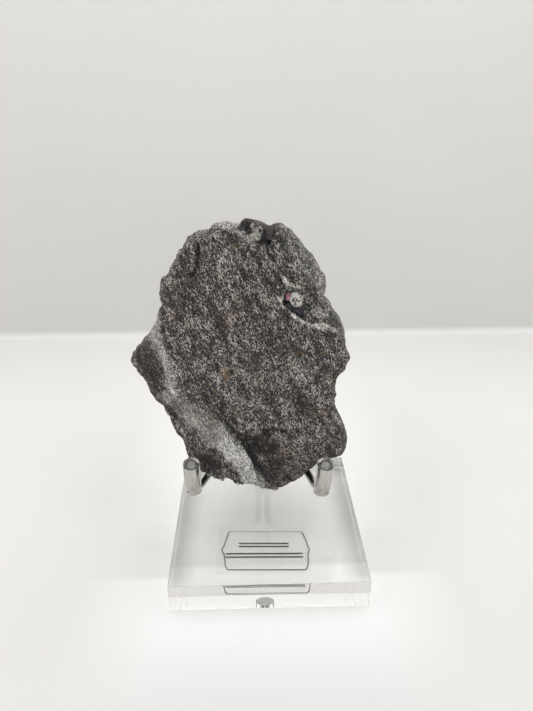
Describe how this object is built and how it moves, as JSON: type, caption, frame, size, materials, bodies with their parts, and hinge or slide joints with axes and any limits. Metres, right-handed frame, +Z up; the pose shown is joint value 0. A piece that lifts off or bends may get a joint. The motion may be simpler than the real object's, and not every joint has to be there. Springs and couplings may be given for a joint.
{
  "type": "garnet in matrix",
  "caption": "Lump of grey mica schist with dark red garnet crystals set in it, leaning on a small clear acrylic block stand with bent metal rods and clear sleeves on their ends.",
  "frame": {"origin": "centre of the clear block's underside, on the surface it stands on", "axes": "+Z up, +X to the right seen from the front, +Y to the back, away from the rock's shown face"},
  "size_m": [0.093, 0.083, 0.1331],
  "materials": {
    "schist": "rough broken, grainy, with mica glints",
    "garnet_top": "vitreous, dark red",
    "garnet_side": "vitreous, dark red with a pale mica patch",
    "acrylic": "clear polished acrylic",
    "label": "matt, printed",
    "rod": "polished",
    "sleeve": "clear soft vinyl"
  },
  "bodies": {
    "root": {"matrix": "schist", "garnet_top": "garnet_top", "garnet_side": "garnet_side", "base": "acrylic", "label": "label", "arm_left": "rod", "arm_right": "rod", "tip_left": "sleeve", "tip_right": "sleeve"}
  },
  "joints": []
}
